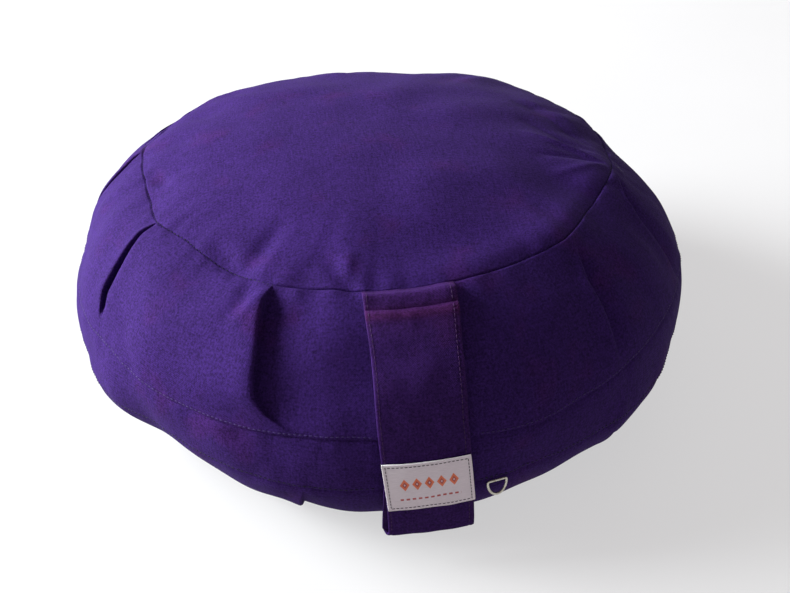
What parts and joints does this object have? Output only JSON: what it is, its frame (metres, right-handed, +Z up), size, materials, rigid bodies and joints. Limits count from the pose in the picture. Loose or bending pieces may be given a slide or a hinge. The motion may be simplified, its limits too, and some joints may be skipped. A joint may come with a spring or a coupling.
{
  "type": "zafu meditation cushion",
  "caption": "Round filled meditation cushion with a pleated side, a looped carry strap hanging over the side, a sewn label and a small D-shaped ring.",
  "frame": {"origin": "centre of the flat base, on the surface the cushion rests on", "axes": "+Z up, the cushion's short direction; the strap hangs on the -Y side; +X is to the right as seen facing the strap"},
  "size_m": [0.3588, 0.3651, 0.149],
  "materials": {
    "cover_cloth": "matt purple cotton twill",
    "strap_cloth": "matt purple cotton, doubled and edge-stitched",
    "label_cloth": "off-white woven satin",
    "ring_metal": "bright nickel-plated wire"
  },
  "bodies": {
    "root": {"cushion": "cover_cloth", "strap": "strap_cloth", "label": "label_cloth", "ring": "ring_metal"}
  },
  "joints": []
}
